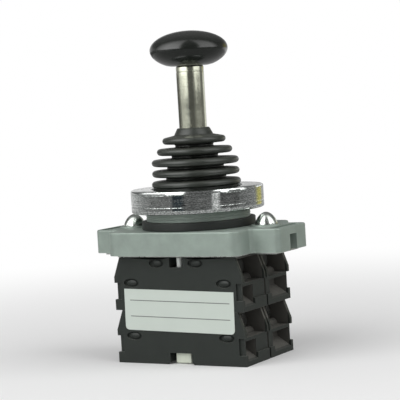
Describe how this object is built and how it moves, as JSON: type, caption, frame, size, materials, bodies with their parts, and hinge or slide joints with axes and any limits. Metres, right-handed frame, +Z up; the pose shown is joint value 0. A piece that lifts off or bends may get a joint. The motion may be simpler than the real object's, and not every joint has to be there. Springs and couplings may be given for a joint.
{
  "type": "industrial joystick",
  "caption": "Panel-mount joystick switch: ball knob on a steel rod, rubber boot, ring nut on a threaded collar, die-cast frame and stacked contact blocks.",
  "frame": {"origin": "centre of the base of the contact blocks, on the lever's axis", "axes": "+Z up the lever, -Y the front face with the label, +X the right terminal end"},
  "size_m": [0.0606, 0.0384, 0.0945],
  "materials": {
    "block_plastic": "moulded, satin black",
    "rivet_black": "blackened rivet",
    "contact_brass": "bright",
    "zinc_steel": "bright zinc plate",
    "bright_steel": "ground",
    "white_plastic": "moulded",
    "cream_plastic": "moulded",
    "zinc_casting": "die-cast, satin",
    "turned_aluminium": "turned, bright",
    "black_rubber": "matt",
    "rod_steel": "drawn, polished",
    "knob_black": "gloss",
    "label_silver": "printed film, satin silver"
  },
  "bodies": {
    "root": {"body_casting": "zinc_casting", "clamp_screws": "zinc_steel", "front_lower_clamp_plates": "zinc_steel", "front_lower_contact_strips": "contact_brass", "front_lower_cover": "block_plastic", "front_lower_housing": "block_plastic", "front_lower_return_spring": "bright_steel", "front_lower_rivets": "rivet_black", "front_lower_terminal_screws": "zinc_steel", "front_upper_clamp_plates": "zinc_steel", "front_upper_contact_strips": "contact_brass", "front_upper_cover": "block_plastic", "front_upper_housing": "block_plastic", "front_upper_return_spring": "bright_steel", "front_upper_rivets": "rivet_black", "front_upper_terminal_screws": "zinc_steel", "gimbal_pins": "bright_steel", "panel_gasket": "black_rubber", "plate_screws": "zinc_steel", "rating_label": "label_silver", "rear_lower_clamp_plates": "zinc_steel", "rear_lower_contact_strips": "contact_brass", "rear_lower_cover": "block_plastic", "rear_lower_housing": "block_plastic", "rear_lower_return_spring": "bright_steel", "rear_lower_rivets": "rivet_black", "rear_lower_terminal_screws": "zinc_steel", "rear_upper_clamp_plates": "zinc_steel", "rear_upper_contact_strips": "contact_brass", "rear_upper_cover": "block_plastic", "rear_upper_housing": "block_plastic", "rear_upper_return_spring": "bright_steel", "rear_upper_rivets": "rivet_black", "rear_upper_terminal_screws": "zinc_steel", "retaining_plate": "bright_steel", "ring_nut": "turned_aluminium", "rubber_boot": "black_rubber", "stack_screws": "zinc_steel"},
    "gimbal": {"gimbal_ring": "bright_steel", "hub_pins": "bright_steel"},
    "lever": {"lever_hub": "bright_steel", "lever_shaft": "rod_steel", "knob": "knob_black"},
    "front_plunger": {"front_upper_plunger": "white_plastic", "front_upper_contact_bridge": "contact_brass"},
    "rear_plunger": {"rear_upper_plunger": "white_plastic", "rear_upper_contact_bridge": "contact_brass"},
    "left_plunger": {"left_push_rod": "white_plastic", "front_lower_plunger": "cream_plastic", "front_lower_contact_bridge": "contact_brass"},
    "right_plunger": {"right_push_rod": "white_plastic", "rear_lower_plunger": "cream_plastic", "rear_lower_contact_bridge": "contact_brass"}
  },
  "joints": [
    {"name": "left_right_tilt", "type": "hinge", "parent": "root", "child": "gimbal", "pos_m": [0, 0, 0.037], "axis": [0, 1, 0], "range_deg": [-12, 12], "stiffness_Nm_per_rad": 0.5, "deforming": ["rubber_boot"]},
    {"name": "front_back_tilt", "type": "hinge", "parent": "gimbal", "child": "lever", "pos_m": [0, 0, 0.037], "axis": [1, 0, 0], "range_deg": [-12, 12], "stiffness_Nm_per_rad": 0.5, "deforming": ["rubber_boot"]},
    {"name": "front_plunger_slide", "type": "slide", "parent": "root", "child": "front_plunger", "axis": [0, 0, 1], "range_m": [-0.00153, 0.00153], "deforming": ["front_upper_return_spring"]},
    {"name": "rear_plunger_slide", "type": "slide", "parent": "root", "child": "rear_plunger", "axis": [0, 0, 1], "range_m": [-0.00153, 0.00153], "deforming": ["rear_upper_return_spring"]},
    {"name": "left_plunger_slide", "type": "slide", "parent": "root", "child": "left_plunger", "axis": [0, 0, 1], "range_m": [-0.00086, 0.00086], "deforming": ["front_lower_return_spring"]},
    {"name": "right_plunger_slide", "type": "slide", "parent": "root", "child": "right_plunger", "axis": [0, 0, 1], "range_m": [-0.00086, 0.00086], "deforming": ["rear_lower_return_spring"]}
  ],
  "couplings": [
    {"joint": "front_plunger_slide", "follows": "front_back_tilt", "m_per_rad": -0.007225},
    {"joint": "rear_plunger_slide", "follows": "front_back_tilt", "m_per_rad": 0.007225},
    {"joint": "left_plunger_slide", "follows": "left_right_tilt", "m_per_rad": 0.004},
    {"joint": "right_plunger_slide", "follows": "left_right_tilt", "m_per_rad": -0.004}
  ]
}
